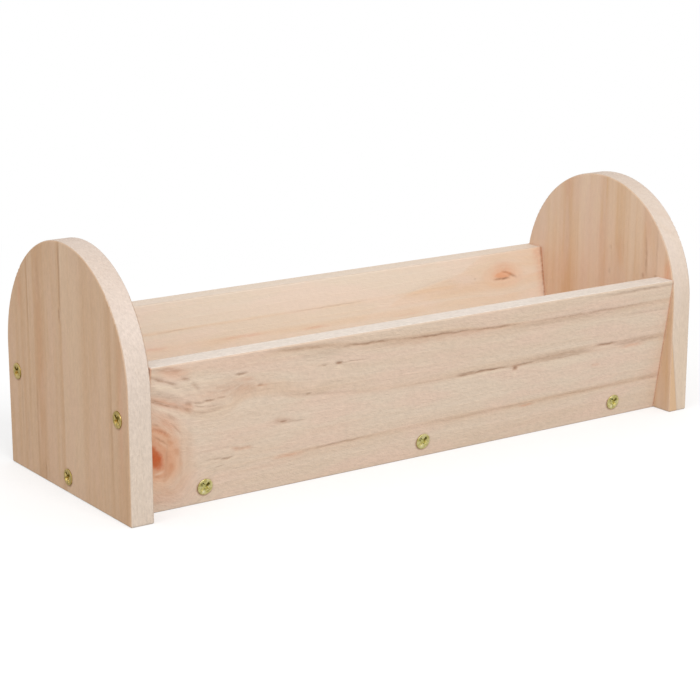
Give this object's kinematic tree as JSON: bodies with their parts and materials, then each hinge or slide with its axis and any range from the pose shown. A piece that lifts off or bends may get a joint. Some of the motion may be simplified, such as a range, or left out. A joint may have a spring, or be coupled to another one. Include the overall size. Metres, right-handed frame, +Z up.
{
  "type": "hay feeder box",
  "caption": "Open wooden trough with outward-leaning sides and arch-topped end panels, screwed together from boards, that holds hay for small pets.",
  "frame": {"origin": "under the middle of the box, on the surface it stands on", "axes": "+X along the trough, from the left end panel to the right one; +Y from the front board to the back board; +Z up"},
  "size_m": [0.341, 0.122, 0.121],
  "materials": {
    "end_panel_wood": "bare sanded softwood",
    "side_board_wood": "bare sanded softwood",
    "floor_board_wood": "bare sanded softwood",
    "screw_zinc": "yellow zinc plated"
  },
  "bodies": {
    "root": {"left_end_panel": "end_panel_wood", "right_end_panel": "end_panel_wood", "front_board": "side_board_wood", "back_board": "side_board_wood", "floor_board": "floor_board_wood", "left_end_screw_front": "screw_zinc", "left_end_screw_back": "screw_zinc", "left_end_screw_floor": "screw_zinc", "right_end_screw_front": "screw_zinc", "right_end_screw_back": "screw_zinc", "right_end_screw_floor": "screw_zinc", "front_screw_left": "screw_zinc", "front_screw_middle": "screw_zinc", "front_screw_right": "screw_zinc", "back_screw_left": "screw_zinc", "back_screw_middle": "screw_zinc", "back_screw_right": "screw_zinc"}
  },
  "joints": []
}
